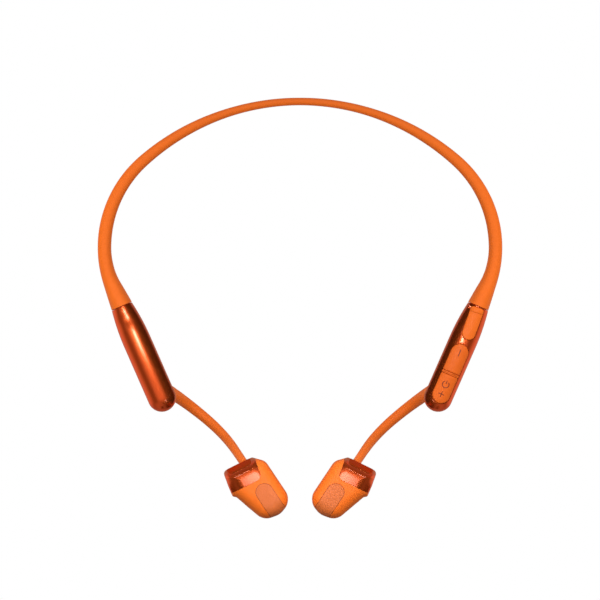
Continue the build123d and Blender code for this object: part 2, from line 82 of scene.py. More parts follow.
BAND_BACK = (74.2, 2.1)  # y and z of the band's rear centre
BAND_ARCS = ((85.0, 41.5), (42.0, 48.5), (33.5, 23.7))
BAND_STRAIGHT = 8.3
BAND_POWER = 2.15  # exponent of the band's section, away from the pods
BAND_SECTIONS = (
    (0.00, 2.7, 4.15),
    (0.20, 3.0, 4.25),
    (0.40, 3.8, 4.6),
    (0.60, 4.5, 5.0),
    (0.76, 4.9, 5.6),
    (0.85, 5.0, 6.8),
    (0.92, 5.8, 9.0),
    (0.96, 6.9, 11.6),
    (1.00, 7.9, 13.5),
)

HOOK_POINTS = (
    (50.2, -29.0, 13.0),
    (49.3, -29.8, 25.0),
    (45.4, -32.5, 36.5),
    (39.4, -37.1, 42.15),
    (32.7, -42.6, 41.2),
    (26.9, -48.2, 35.0),
    (23.3, -52.4, 25.0),
    (18.6, -58.4, 8.5),
)
HOOK_SECTIONS = (
    (0.00, 5.4, 8.4),
    (0.14, 5.2, 7.2),
    (0.30, 4.4, 5.6),
    (0.48, 3.8, 4.6),
    (0.66, 3.4, 4.0),
    (0.82, 3.1, 3.6),
    (1.00, 3.1, 3.6),
)

TRANSDUCER_ORIGIN = (15.0, -65.0)
TRANSDUCER_LENGTH_DIR = (-0.556, -0.831)
TRANSDUCER_HEIGHT = 16.5
TRANSDUCER_OUTLINE = (
    (-12.0, 7.6, 1.6),
    (-10.45, -4.1, 1.1),
    (-6.63, -7.43, 4.0),
    (10.2, -7.43, 5.0),
    (12.1, -1.4, 6.0),
    (10.65, 4.72, 5.0),
    (-1.75, 8.3, 1.2),
    (-2.75, 9.3, 0.7),
)
STEP_FADED = ((-2.0, 8.36), (-4.2, 8.55))  # where the outer step's corners go away from the rim
STEP_FADE = 1.5  # inset at which the step has gone
CAP_REGION = ((-4.4, 12.0, 0.0), (-2.55, -3.25, 2.0), (-16.0, -6.55, 0.0), (-16.0, 12.0, 0.0))
DOME_INSET = 5.0
DOME_HEIGHT = 5.6
DOME_POWER = 0.9  # below 1: squarer than an ellipse
DOME_FLATNESS = 1.08
TOP_ROUND = 3.6
SKIN_WALL = 0.9
REAR_LEAN = 2.3
REAR_CRISPNESS = 0.6
REAR_LEAN_TOP = 9.5
REAR_ALONG = (6.5, 10.5)  # over which lengths and depths the cap's rear side begins
REAR_ACROSS = (-6.5, -3.0)
CRISP_FADE = (2.5, 8.0)
GRILLE_PILL = (-1.0, 14.5, 6.3, -1.26)  # start, end, width, depth

PILL = (14.9, 22.8, 6.5, 0.35)  # start, length, width, shift to the outer side
PORT = (0.5, 12.25, 5.0, -0.13)
PORT_TURN = math.radians(3.7)
BAR_HALF = 0.45
GAP = 0.12
HOLE_TOP = 5.6  # how high the holes in the right shell are cut
STEM_RADIUS = 0.9
STEM_HEIGHTS = (3.0, 4.5)
SEAT_HEIGHTS = (4.1, 4.9)
STEM_HOLE_HEIGHTS = (3.9, 5.1)
NOTCH_PLACE, NOTCH_RADII, NOTCH_TOP = (1.55, -2.9), (0.55, 0.4), 4.4  # beside the port cover
LIP_WIDTH, LIP_HEIGHT, LIP_FADE = 1.75, 0.3, 0.35
BOSS_HALF_LENGTH, BOSS_HALF_WIDTH, BOSS_HEIGHTS = 3.7, 0.85, (3.2, 4.9)
ICON_LINE = (0.3, 0.06, 0.13)  # width, height, lift
MERGE = 0.002
BEVEL_WIDTH, BEVEL_ANGLE = 0.1, 50


# ---------------------------------------------------------------- small geometry helpers
def smooth_table(table, share):
    """Values of a table at a share, along a smooth curve through its rows."""
    keys = np.array([row[0] for row in table])
    values = np.array([row[1:] for row in table])
    slopes = np.gradient(values, keys, axis=0)
    index = int(np.clip(np.searchsorted(keys, share) - 1, 0, len(keys) - 2))
    span = keys[index + 1] - keys[index]
    t = (share - keys[index]) / span
    weights = (2 * t**3 - 3 * t**2 + 1, t**3 - 2 * t**2 + t, 3 * t**2 - 2 * t**3, t**3 - t**2)
    return (
        weights[0] * values[index]
        + weights[1] * span * slopes[index]
        + weights[2] * values[index + 1]
        + weights[3] * span * slopes[index + 1]
    )


def superellipse(half_width, half_height, power, count):
    """Points round a superellipse, starting at its right side."""
    points = []
    for step in range(count):
        angle = 2 * math.pi * step / count
        across, up = math.cos(angle), math.sin(angle)
        points.append(
            (
                half_width * math.copysign(abs(across) ** (2 / power), across),
                half_height * math.copysign(abs(up) ** (2 / power), up),
            )
        )
    return points


def rounded_outline(corners, inset=0.0, arc_steps=10, side_steps=6):
    """Polygon with rounded corners, moved inwards; its count of points stays the same."""
    points = [np.array(corner[:2], float) for corner in corners]
    radii = [corner[2] for corner in corners]
    count = len(points)
    area = sum(
        points[i][0] * points[(i + 1) % count][1] - points[(i + 1) % count][0] * points[i][1]
        for i in range(count)
    )
    spin = 1.0 if area > 0 else -1.0
    headings = []
    for i in range(count):
        along = points[(i + 1) % count] - points[i]
        headings.append(along / np.linalg.norm(along))
    arcs = []
    for i in range(count):
        before, after = headings[i - 1], headings[i]
        inward_before = spin * np.array((-before[1], before[0]))
        inward_after = spin * np.array((-after[1], after[0]))
        cross = before[0] * after[1] - before[1] * after[0]
        convex = cross * spin > 0
        half_turn = math.atan2(abs(cross), float(before @ after)) / 2
        bisector = inward_before + inward_after
        bisector /= np.linalg.norm(bisector)
        corner = points[i] + bisector * inset / math.cos(half_turn)
        radius = max(radii[i] - inset, 0.02) if convex else radii[i] + inset
        side = 1.0 if convex else -1.0
        centre = corner + side * bisector * radius / math.cos(half_turn)
        arc = []
        for step in range(arc_steps + 1):
            share = step / arc_steps
            angle = 2 * half_turn * share
            start = -side * inward_before * radius
            turn = spin * side * angle
            arc.append(
                centre
                + np.array(
                    (
                        start[0] * math.cos(turn) - start[1] * math.sin(turn),
                        start[0] * math.sin(turn) + start[1] * math.cos(turn),
                    )
                )
            )
        arcs.append(arc)
    outline = []
    for i in range(count):
        outline.extend(arcs[i])
        start, end = arcs[i][-1], arcs[(i + 1) % count][0]
        for step in range(1, side_steps):
            outline.append(start + (end - start) * step / side_steps)
    return [(float(x), float(y)) for x, y in outline]


def mesh_object(name, points, faces):
    """Object from points in millimetres, with doubles merged and normals facing out."""
    mesh = bpy.data.meshes.new(name)
    mesh.from_pydata([Vector(p) * MM for p in points], [], faces)
    edit = bmesh.new()
    edit.from_mesh(mesh)
    bmesh.ops.remove_doubles(edit, verts=edit.verts, dist=MERGE * MM)
    bmesh.ops.dissolve_degenerate(edit, edges=edit.edges, dist=MERGE * MM / 2)
    bmesh.ops.recalc_face_normals(edit, faces=edit.faces)
    edit.to_mesh(mesh)
    edit.free()
    obj = bpy.data.objects.new(name, mesh)
    bpy.context.scene.collection.objects.link(obj)
    return obj


def lofted(name, rings):
    """Closed solid through rings that all have the same count of points."""
    count = len(rings[0])
    points = [point for ring in rings for point in ring]
    faces = []
    for level in range(len(rings) - 1):
        for step in range(count):
            turn = (step + 1) % count
            low, high = level * count, (level + 1) * count
            faces.append((low + step, low + turn, high + turn, high + step))
    faces.append(tuple(reversed(range(count))))
    faces.append(tuple(range(len(points) - count, len(points))))
    return mesh_object(name, points, faces)


def with_cavity(outer, inner):
    """Adds the inner surface to the outer one, facing the hollow."""
    edit = bmesh.new()
    edit.from_mesh(outer.data)
    first = len(edit.faces)
    edit.from_mesh(inner.data)
    edit.faces.ensure_lookup_table()
    bmesh.ops.reverse_faces(edit, faces=edit.faces[first:])
    edit.to_mesh(outer.data)
    edit.free()
    bpy.data.objects.remove(inner)
    return outer


def cut(obj, tool, operation="DIFFERENCE"):
    """Boolean with another closed solid, applied at once; the tool goes away."""
    modifier = obj.modifiers.new("cut", "BOOLEAN")
    modifier.operation = operation
    modifier.solver = "MANIFOLD"
    modifier.object = tool
    apply_modifiers(obj)
    bpy.data.objects.remove(tool)
    return obj


def apply_modifiers(obj):
    """Replaces an object's mesh with what its modifiers make of it."""
    bpy.context.view_layer.update()
    graph = bpy.context.evaluated_depsgraph_get()
    mesh = bpy.data.meshes.new_from_object(obj.evaluated_get(graph))
    obj.modifiers.clear()
    obj.data = mesh


def copy_of(obj, name):
    """Separate object with its own mesh."""
    twin = obj.copy()
    twin.data = obj.data.copy()
    twin.name = name
    bpy.context.scene.collection.objects.link(twin)
    return twin


def mirrored(obj, name):
    """Mirror image about the plane between left and right."""
    twin = copy_of(obj, name)
    for vertex in twin.data.vertices:
        vertex.co.x = -vertex.co.x
    twin.data.flip_normals()
    return twin


def smooth(obj, angle=32):
    """Smooth shading, with sharp edges past an angle."""
    for face in obj.data.polygons:
        face.use_smooth = True
    obj.data.set_sharp_from_angle(angle=math.radians(angle))
    return obj


def column(name, outline, bottom, top):
    """Upright prism on an outline in world millimetres."""
    return lofted(name, [[(x, y, z) for x, y in outline] for z in (bottom, top)])


def arc_places(middle, radii, first=0, last=360, step=15):
    """Places on an ellipse round a middle, between two angles in degrees."""
    return [
        (middle[0] + radii[0] * math.cos(angle), middle[1] + radii[1] * math.sin(angle))
        for angle in np.radians(np.arange(first, last, step))
    ]


# ---------------------------------------------------------------- places
def in_housing(along, outward, sign=1):
    """World x and y of a place in a pod: along its axis, and towards the outside of the head."""
    x = HOUSING_ORIGIN[0] - along * math.sin(HOUSING_ANGLE) + outward * math.cos(HOUSING_ANGLE)
    y = HOUSING_ORIGIN[1] - along * math.cos(HOUSING_ANGLE) - outward * math.sin(HOUSING_ANGLE)
    return sign * x, y


def in_transducer(length, depth):
    """World x and y of a place in the left transducer."""
    scale = math.hypot(*TRANSDUCER_LENGTH_DIR)
    dx, dy = (part / scale for part in TRANSDUCER_LENGTH_DIR)
    return (
        TRANSDUCER_ORIGIN[0] + length * dx - depth * dy,
        TRANSDUCER_ORIGIN[1] + length * dy + depth * dx,
    )


def housing_half_width(along):
    """Half width of the pod in plan, up to where its nose begins."""
    rise = max(0.0, (HOUSING_TAPER - along) / HOUSING_TAPER)
    return HOUSING_HALF_WIDTH - (HOUSING_HALF_WIDTH - HOUSING_REAR_HALF) * rise**2


def housing_stations(inset):
    """Places along the pod with half width and half height, from its rear wall to its tip."""
    nose = HOUSING_LENGTH - HOUSING_HALF_WIDTH
    stations = []
    edge, start = 0.0, inset
    if not inset:
        # the outer skin starts just clear of the band, with a small chamfer
        edge, start = 0.18, 0.06
        stations.append((start, housing_half_width(0) - edge, HOUSING_HALF_HEIGHT - edge))
    for along in np.linspace(start + edge, nose, 44):
        stations.append((along, housing_half_width(along) - inset, HOUSING_HALF_HEIGHT - inset))
    for angle in np.radians(np.linspace(0, 89, 24))[1:]:
        stations.append(
            (
                nose + (HOUSING_HALF_WIDTH - inset) * math.sin(angle),
                (HOUSING_HALF_WIDTH - inset) * math.cos(angle),
                (HOUSING_HALF_HEIGHT - inset) * math.cos(angle) ** NOSE_POWER,
            )
        )
    return stations


def housing_surface(along, outward, inset=0.0):
    """Height of the pod's underside at a place in its plan."""
    nose = HOUSING_LENGTH - HOUSING_HALF_WIDTH
    half_width, half_height = housing_half_width(along), HOUSING_HALF_HEIGHT
    if along > nose:
        angle = math.asin(min(0.999, (along - nose) / HOUSING_HALF_WIDTH))
        half_width = HOUSING_HALF_WIDTH * math.cos(angle)
        half_height = HOUSING_HALF_HEIGHT * math.cos(angle) ** NOSE_POWER
    share = min(0.999, abs(outward) / half_width)
    drop = half_height * (1 - share**SECTION_POWER) ** (1 / SECTION_POWER)
    return HOUSING_MIDDLE - drop + inset


def housing_solid(name, inset, dip=0.0):
    """Closed skin of the left pod, moved inwards, with a shallow dip across its rear underside."""
    rings = []
    for along, half_width, half_height in housing_stations(inset):
        dip_here = dip * math.exp(-(((along - DIP_PLACE) / DIP_REACH) ** 2))
        ring = []
        for outward, up in superellipse(half_width, half_height, SECTION_POWER, 96):
            x, y = in_housing(along, outward)
            rise = dip_here * max(0.0, -up / half_height)
            ring.append((x, y, HOUSING_MIDDLE + up + rise))
        rings.append(ring)
    return lofted(name, rings)


def band_half():
    """Midline of half the band in its own plane, with its headings and its whole length."""
    lean = math.atan2(HOUSING_MIDDLE - BAND_BACK[1], BAND_BACK[0] - HOUSING_ORIGIN[1])
    x, y, heading = 0.0, (BAND_BACK[0] - HOUSING_ORIGIN[1]) / math.cos(lean), 0.0
    rows = [(0.0, x, y, heading)]
    length = 0.0
    steps = 60
    for radius, turn in BAND_ARCS:
        for _ in range(steps):
            half = math.radians(turn) / steps / 2
            chord = 2 * radius * math.sin(half)
            heading -= half
            x, y = x + chord * math.cos(heading), y + chord * math.sin(heading)
            heading -= half
            length += 2 * radius * half
            rows.append((length, x, y, heading))
    rows.append(
        (
            length + BAND_STRAIGHT,
            x + BAND_STRAIGHT * math.cos(heading),
            y + BAND_STRAIGHT * math.sin(heading),
            heading,
        )
    )
    return np.array(rows), lean


def band_rings():
    """Rings of the neckband sleeve, from the right pod to the left one."""
    rows, lean = band_half()
    total = rows[-1, 0]
    rings = []
    shares = [-s for s in np.linspace(1, 0, 90)] + list(np.linspace(0, 1, 90)[1:])
    for share in shares:
        place = abs(share) * total
        x = np.interp(place, rows[:, 0], rows[:, 1])
        y = np.interp(place, rows[:, 0], rows[:, 2])
        heading = np.interp(place, rows[:, 0], rows[:, 3])
        thickness, height = smooth_table(BAND_SECTIONS, abs(share))
        # towards its end the section turns into the pod's, and is cut upright, square to the pod
        pod_like = max(0.0, (abs(share) - 0.8) / 0.2)
        upright = max(0.0, (abs(share) - 0.9) / 0.1)
        power = BAND_POWER + (SECTION_POWER - BAND_POWER) * pod_like
        ring = []
        for across, up in superellipse(thickness / 2, height / 2, power, 64):
            flat_x = x - across * math.sin(heading)
            flat_y = y + across * math.cos(heading)
            back = up * math.sin(lean) * (1 - upright)
            ring.append(
                (
                    math.copysign(1, share) * flat_x if share else flat_x,
                    HOUSING_ORIGIN[1] + flat_y * math.cos(lean) + back,
                    HOUSING_MIDDLE - flat_y * math.sin(lean) + up * math.cos(lean),
                )
            )
        rings.append(ring)
    return rings


def spline_through(points, count):
    """Evenly spaced places on a smooth curve through points, with free ends."""

    def lengths_along(places):
        steps = np.linalg.norm(np.diff(places, axis=0), axis=1)
        return np.concatenate(([0], np.cumsum(steps)))

    points = np.array(points, float)
    knots = lengths_along(points)
    size = len(points)
    system = np.zeros((size, size))
    right = np.zeros((size, points.shape[1]))
    system[0, 0] = system[-1, -1] = 1
    for i in range(1, size - 1):
        before, after = knots[i] - knots[i - 1], knots[i + 1] - knots[i]
        system[i, i - 1 : i + 2] = before, 2 * (before + after), after
        slope_after = (points[i + 1] - points[i]) / after
        slope_before = (points[i] - points[i - 1]) / before
        right[i] = 6 * (slope_after - slope_before)
    bends = np.linalg.solve(system, right)

    def at(place):
        i = int(np.clip(np.searchsorted(knots, place) - 1, 0, size - 2))
        span = knots[i + 1] - knots[i]
        a, b = (knots[i + 1] - place) / span, (place - knots[i]) / span
        return (
            a * points[i]
            + b * points[i + 1]
            + ((a**3 - a) * bends[i] + (b**3 - b) * bends[i + 1]) * span**2 / 6
        )

    dense = np.array([at(place) for place in np.linspace(0, knots[-1], 800)])
    lengths = lengths_along(dense)
    wanted = np.linspace(0, lengths[-1], count)
    return np.stack([np.interp(wanted, lengths, dense[:, axis]) for axis in range(3)], axis=1)


def hook_rings():
    """Elliptical rings of the left ear hook."""
    middles = spline_through(HOOK_POINTS, 150)
    tangents = np.gradient(middles, axis=0)
    tangents /= np.linalg.norm(tangents, axis=1)[:, None]
    chord = middles[-1] - middles[0]
    side = np.array((chord[1], -chord[0], 0))
    side /= np.linalg.norm(side)
    shares = np.arange(len(middles)) / (len(middles) - 1)
    rings = []
    for share, middle, tangent in zip(shares, middles, tangents):
        across = side - tangent * (side @ tangent)
        across /= np.linalg.norm(across)
        up = np.cross(tangent, across)
        width, depth = smooth_table(HOOK_SECTIONS, share)
        ring = []
        for step in range(48):
            angle = 2 * math.pi * step / 48
            ring.append(
                tuple(
                    middle
                    + across * math.cos(angle) * width / 2
                    + up * math.sin(angle) * depth / 2
                )
            )
        rings.append(ring)
    return rings


# ---------------------------------------------------------------- transducer
def transducer_corners(blend):
    """Corners of the transducer's plan; the small step on its outer side fades as blend grows."""
    corners = [list(corner) for corner in TRANSDUCER_OUTLINE]
    for corner, faded in zip(corners[6:8], STEP_FADED):
        for axis in (0, 1):
            corner[axis] += (faded[axis] - corner[axis]) * blend
        corner[2] += 2.0 * blend
    return corners


def ease(value, low, high):
    """Smooth step from 0 at low to 1 at high."""
    share = min(1.0, max(0.0, (value - low) / (high - low)))
    return share * share * (3 - 2 * share)


def rear_share(length, depth):
    """1 on the cap's rear side, fading to 0 round its corners."""
    return ease(-length, *REAR_ALONG) * ease(depth, *REAR_ACROSS)


def rear_shift(inset, z, share):
    """How far the cap's rear lies further forward: it leans, and its lower edge is crisper."""
    lean = REAR_LEAN * max(0.0, 1 - z / REAR_LEAN_TOP)
    crisp = REAR_CRISPNESS * inset * (1 - ease(inset, *CRISP_FADE)) if z < HOUSING_MIDDLE else 0.0
    return (lean - crisp) * share


def transducer_ring(inset, z):
    """Ring round the transducer at a height, moved inwards."""
    ring = []
    rim = rounded_outline(transducer_corners(0.0))
    outline = rounded_outline(transducer_corners(min(1.0, inset / STEP_FADE)), inset)
    for (rim_length, rim_depth), (length, depth) in zip(rim, outline):
        shift = rear_shift(inset, z, rear_share(rim_length, rim_depth))
        x, y = in_transducer(length + shift, depth)
        ring.append((x, y, z))
    return ring


def dome_profile(skin):
    """Insets and heights from the underside's middle, up the side, to the top's middle."""
    lower, upper = [], []
    for angle in np.radians(np.linspace(0, 90, 22)):
        across, up = math.cos(angle) ** DOME_POWER, math.sin(angle) ** DOME_POWER
        lower.append(
            (
                skin + (DOME_INSET - skin) * (1 - across) ** DOME_FLATNESS,
                skin + (DOME_HEIGHT - skin) * (1 - up),
            )
        )
        upper.append(
            (
                skin + (TOP_ROUND - skin) * (1 - across),
                TRANSDUCER_HEIGHT - skin - (TOP_ROUND - skin) * (1 - up),
            )
        )
    middle_low = [(DOME_INSET + 0.25, skin)]
    middle_high = [(TOP_ROUND + more, TRANSDUCER_HEIGHT - skin) for more in (0.6, 1.2)]
    return middle_low + lower[::-1] + upper + middle_high


def transducer_solid(name, skin=0.0):
    """Closed solid of the whole left transducer, moved inwards."""
    return lofted(name, [transducer_ring(inset, z) for inset, z in dome_profile(skin)])


def cap_column(name, grow=0.0):
    """Upright column over the glossy cap's part of the transducer."""
    outline = rounded_outline(CAP_REGION, -grow, arc_steps=16)
    return column(name, [in_transducer(*point) for point in outline], -2, TRANSDUCER_HEIGHT + 2)


def grille_column(name, shrink):
    """Upright stadium column through the transducer's underside, where the grille is."""
    start, end, width, depth = GRILLE_PILL
    half = width / 2 - shrink
    points = []
    for middle, first in ((start + width / 2, 90), (end - width / 2, -90)):
        for angle in np.radians(np.linspace(first, first + 180, 25)):
            points.append((middle + half * math.cos(angle), depth + half * math.sin(angle)))
    return column(name, [in_transducer(*point) for point in points], -1, 6)


def dome_inset(z):
    """How far the transducer's surface lies inside its widest outline at a height."""
    if z < DOME_HEIGHT:
        share, reach = 1 - z / DOME_HEIGHT, DOME_INSET
    elif z > TRANSDUCER_HEIGHT - TOP_ROUND:
        share, reach = 1 - (TRANSDUCER_HEIGHT - z) / TOP_ROUND, TOP_ROUND
    else:
        return 0.0
    rise = min(1.0, max(0.0, share) ** (1 / DOME_POWER))
    return reach * (1 - math.sqrt(1 - rise**2) ** DOME_POWER)


def side_pad(name, corners, shift, middle_z, length, height, radius, proud, edge, depth):
    """Rounded pad on a side of the transducer, following its curved and leaning surface."""
    start, end = (np.array(TRANSDUCER_OUTLINE[index][:2]) for index in corners)
    along = (end - start) / np.linalg.norm(end - start)
    inward = np.array((along[1], -along[0]))
    middle = (start + end) / 2 + along * shift
    if inward @ middle > 0:
        inward = -inward
    corners_flat = [
        (-length / 2, -height / 2, radius),
        (length / 2, -height / 2, radius),
        (length / 2, height / 2, radius),
        (-length / 2, height / 2, radius),
    ]
    insets = [0.0, 0.0] + [edge * share for share in (0.3, 0.7, 1.0)]
    sinks = [depth, edge, edge * 0.45, edge * 0.1, 0.0]
    reach = min(length, height) / 2 - 0.15
    for inset in np.linspace(edge, reach, 8)[1:]:
        insets.append(inset)
        sinks.append(0.0)
    rings = []
    for inset, sink in zip([reach, reach / 2] + insets, [depth, depth] + sinks):
        ring = []
        for across, up in rounded_outline(corners_flat, inset):
            z = middle_z + up
            place = middle + along * across + inward * (dome_inset(z) + sink - proud)
            shift = rear_shift(dome_inset(z), z, rear_share(*(middle + along * across)))
            x, y = in_transducer(place[0] + shift, place[1])
            ring.append((x, y, z))
        rings.append(ring)
    return lofted(name, rings)


# ---------------------------------------------------------------- flap, keys and icons
def port_place(along, outward):
    """Place in the pod's plan of a place on the slightly turned port."""
    return (
        along * math.cos(PORT_TURN) - outward * math.sin(PORT_TURN),
        along * math.sin(PORT_TURN) + outward * math.cos(PORT_TURN),
    )


def pad(name, corners, reach, thickness, proud, edge, place=None, bump=None):
    """Pad in the right pod's underside: it follows the pod's surface, with a rounded rim."""
    rim = np.radians((0, 20, 40, 60, 80, 90))
    lower = [(edge * (1 - math.cos(angle)), edge * (1 - math.sin(angle))) for angle in rim]
    lower += [(inset, 0.0) for inset in np.linspace(edge, reach, 16)[1:]]
    upper = [(inset, None) for inset in (reach, reach / 2, edge, 0.0)]
    rings = []
    for inset, drop in upper + lower:
        ring = []
        for along, outward in rounded_outline(corners, inset, side_steps=48):
            spot = place(along, outward) if place else (along, outward)
            if drop is None:
                z = housing_surface(*spot, thickness)
            else:
                rise = bump(along, outward) if bump else 0.0
                z = housing_surface(*spot, drop - proud - rise)
            x, y = in_housing(*spot, -1)
            ring.append((x, y, z))
        rings.append(ring)
    return lofted(name, rings)


def strip(points):
    """Rings of a thin raised line on the right pod's underside."""
    width, height, lift = ICON_LINE
    profile = ((-1, -0.3), (-0.9, 0.7), (-0.4, 1.0), (0.4, 1.0), (0.9, 0.7), (1, -0.3))
    points = np.array(points, float)
    headings = np.gradient(points, axis=0)
    headings /= np.linalg.norm(headings, axis=1)[:, None]
    rings = []
    for point, heading in zip(points, headings):
        across = np.array((-heading[1], heading[0]))
        ring = []
        for share, rise in profile:
            along, outward = point + across * share * width / 2
            x, y = in_housing(along, outward, -1)
            ring.append((x, y, housing_surface(along, outward, -lift - rise * height)))
        rings.append(ring)
    return rings


def icon(name, lines):
    """One piece from several raised lines."""
    parts = [lofted(f"{name}.{index}", strip(places)) for index, places in enumerate(lines)]
    edit = bmesh.new()
    for part in parts:
        edit.from_mesh(part.data)
        bpy.data.objects.remove(part)
    mesh = bpy.data.meshes.new(name)
    edit.to_mesh(mesh)
    edit.free()
    obj = bpy.data.objects.new(name, mesh)
    bpy.context.scene.collection.objects.link(obj)
    return obj


def line(start, end):
    """Evenly spaced places on a straight line."""
    return [tuple(place) for place in np.linspace(start, end, 9)]


def round_corners(start, end, side, half, round_start=True, round_end=True, corner=0.45):
    """Corners of a stadium or a half one, along the pod."""
    full = half - 0.005
    first, last = (full if round_start else corner), (full if round_end else corner)
    return [
        (start, side - half, first),
        (end, side - half, last),
        (end, side + half, last),
        (start, side + half, first),
    ]


# ---------------------------------------------------------------- materials
def linear(red, green, blue):
    """Linear colour from the usual 0-255 one."""
    parts = []
    for value in (red, green, blue):
        share = value / 255
        parts.append(share / 12.92 if share <= 0.04045 else ((share + 0.055) / 1.055) ** 2.4)
    return (*parts, 1.0)


def material(
    name, dark, light, scale, roughness, metallic=0.0, specular=0.5, tint=(1, 1, 1, 1),
    bump=0.0, bump_scale=None, texture="noise", coat=0.0, coat_roughness=0.05, coat_ior=1.5,
):
    """Principled material whose colour wanders between two tones, with a fine bump."""
    made = bpy.data.materials.new(name)
    made.use_nodes = True
    nodes, links = made.node_tree.nodes, made.node_tree.links
    nodes.clear()
    output = nodes.new("ShaderNodeOutputMaterial")
    shader = nodes.new("ShaderNodeBsdfPrincipled")
    place = nodes.new("ShaderNodeTexCoord")
    tones = nodes.new("ShaderNodeTexNoise")
    tones.inputs["Scale"].default_value = scale
    tones.inputs["Detail"].default_value = 4
    ramp = nodes.new("ShaderNodeValToRGB")
    ramp.color_ramp.elements[0].position = 0.3
    ramp.color_ramp.elements[1].position = 0.7
    ramp.color_ramp.elements[0].color = dark
    ramp.color_ramp.elements[1].color = light
    links.new(place.outputs["Object"], tones.inputs["Vector"])
    links.new(tones.outputs["Fac"], ramp.inputs["Fac"])
    links.new(ramp.outputs["Color"], shader.inputs["Base Color"])
    links.new(shader.outputs["BSDF"], output.inputs["Surface"])
    shader.inputs["Roughness"].default_value = roughness
    shader.inputs["Metallic"].default_value = metallic
    shader.inputs["Coat Weight"].default_value = coat
    shader.inputs["Coat Roughness"].default_value = coat_roughness
    shader.inputs["Specular IOR Level"].default_value = specular
    shader.inputs["Specular Tint"].default_value = tint
    shader.inputs["Coat IOR"].default_value = coat_ior
    if bump:
        kind = "ShaderNodeTexVoronoi" if texture == "voronoi" else "ShaderNodeTexNoise"
        grain = nodes.new(kind)
        grain.inputs["Scale"].default_value = bump_scale or scale * 6
        height = nodes.new("ShaderNodeBump")
        height.inputs["Strength"].default_value = bump
        height.inputs["Distance"].default_value = 0.0001
        links.new(place.outputs["Object"], grain.inputs["Vector"])
        result = "Distance" if texture == "voronoi" else "Fac"
        links.new(grain.outputs[result], height.inputs["Height"])
        links.new(height.outputs["Normal"], shader.inputs["Normal"])
    return made


SILICONE = material(
    "silicone", linear(236, 108, 28), linear(240, 112, 32), 900, 0.5,
    bump=0.08, bump_scale=9000, specular=0.2,
)
GLOSS = material(
    "gloss_shell", linear(242, 98, 30), linear(246, 102, 34), 400, 0.36, metallic=0.95,
    coat=0.8, coat_roughness=0.22, coat_ior=1.65, tint=(0.8, 0.24, 0.06, 1),
)
TRIM = material(
    "trim", linear(222, 104, 48), linear(230, 110, 52), 600, 0.3, metallic=0.95,
    bump=0.03, bump_scale=4000, coat=0.1, tint=(0.8, 0.3, 0.12, 1),
)
KEY = material(
    "key", linear(226, 100, 26), linear(230, 104, 30), 900, 0.5,
    bump=0.1, bump_scale=9000, specular=0.2,
)
ICON = material(
    "icon", linear(120, 42, 10), linear(130, 48, 14), 900, 0.5, bump=0.1, bump_scale=9000
)
GRILLE = material(
    "grille", linear(206, 98, 36), linear(216, 108, 44), 3500, 0.6,
    bump=0.5, bump_scale=2600, texture="voronoi",
)


def metal(name, dark, light, scale, roughness, bump, metallic=1.0):
    """Plain metal, whose colour wanders between two tones."""
    return material(name, dark, light, scale, roughness, metallic=metallic, bump=bump)


WIRE = metal("spring_wire", linear(150, 148, 145), linear(176, 173, 168), 700, 0.3, 0.05)
CABLE = material("cable", linear(24, 24, 26), linear(38, 38, 40), 900, 0.5, bump=0.1)
CRIMP = metal("crimp", linear(168, 166, 160), linear(190, 188, 182), 800, 0.35, 0.08)
CARRIER = material("carrier", linear(34, 32, 32), linear(46, 44, 43), 700, 0.55, bump=0.15)
YOKE = metal("yoke", linear(140, 138, 134), linear(164, 162, 158), 600, 0.4, 0.06)
MAGNET = metal("magnet", linear(150, 150, 154), linear(178, 178, 182), 500, 0.25, 0.04)
COPPER = metal("copper", linear(184, 96, 54), linear(206, 116, 70), 2500, 0.35, 0.3)
BOARD = material("board", linear(16, 62, 40), linear(26, 82, 54), 1200, 0.45, bump=0.2)
PLATED = metal("plated_steel", linear(176, 172, 160), linear(196, 192, 182), 700, 0.3, 0.04)
SWITCH = material("switch", linear(40, 40, 42), linear(58, 58, 60), 900, 0.5, bump=0.1)
CELL = metal("cell", linear(146, 148, 152), linear(172, 174, 178), 500, 0.4, 0.15, metallic=0.8)
FOAM = material(
    "foam", linear(52, 52, 54), linear(76, 76, 78), 3000, 0.9, bump=0.6, bump_scale=6000
)

SLOTS = {
    "silicone": SILICONE,
    "gloss_shell": GLOSS,
    "trim": TRIM,
    "grille": GRILLE,
    "key": KEY,
    "spring_wire": WIRE,
    "cable": CABLE,
    "crimp": CRIMP,
    "carrier": CARRIER,
    "yoke": YOKE,
    "magnet": MAGNET,
    "copper": COPPER,
    "board": BOARD,
    "plated_steel": PLATED,
    "switch": SWITCH,
    "cell": CELL,
    "foam": FOAM,
}


def finished(obj, slot, body="root", replaces=None, made=None, angle=32):
    """Gives a piece its material, chosen by its slot unless one is given, its shading and its
    body.
    """
    obj.data.materials.clear()
    obj.data.materials.append(made or SLOTS[slot])
    smooth(obj, angle)
    if replaces:
        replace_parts(obj, replaces)
    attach(obj, body)
    return obj


def bevelled(obj):
    """Rounds the edges that a cut has left."""
    modifier = obj.modifiers.new("rim", "BEVEL")
    modifier.width = BEVEL_WIDTH * MM
    modifier.segments = 2
    modifier.limit_method = "ANGLE"
    modifier.angle_limit = math.radians(BEVEL_ANGLE)
    modifier.use_clamp_overlap = True
    apply_modifiers(obj)
    return obj


def slab(name, bottom, top):
    """Large block between two heights."""
    return column(name, [(-120, -120), (120, -120), (120, 120), (-120, 120)], bottom, top)


def upright(name, outline, bottom, top):
    """Column on an outline in the right pod's plan."""
    return column(name, [in_housing(*place, -1) for place in outline], bottom, top)


# ---------------------------------------------------------------- neckband and hooks
band = lofted("neckband_sleeve_form", band_rings())
finished(band, "silicone", replaces="neckband_sleeve", angle=45)

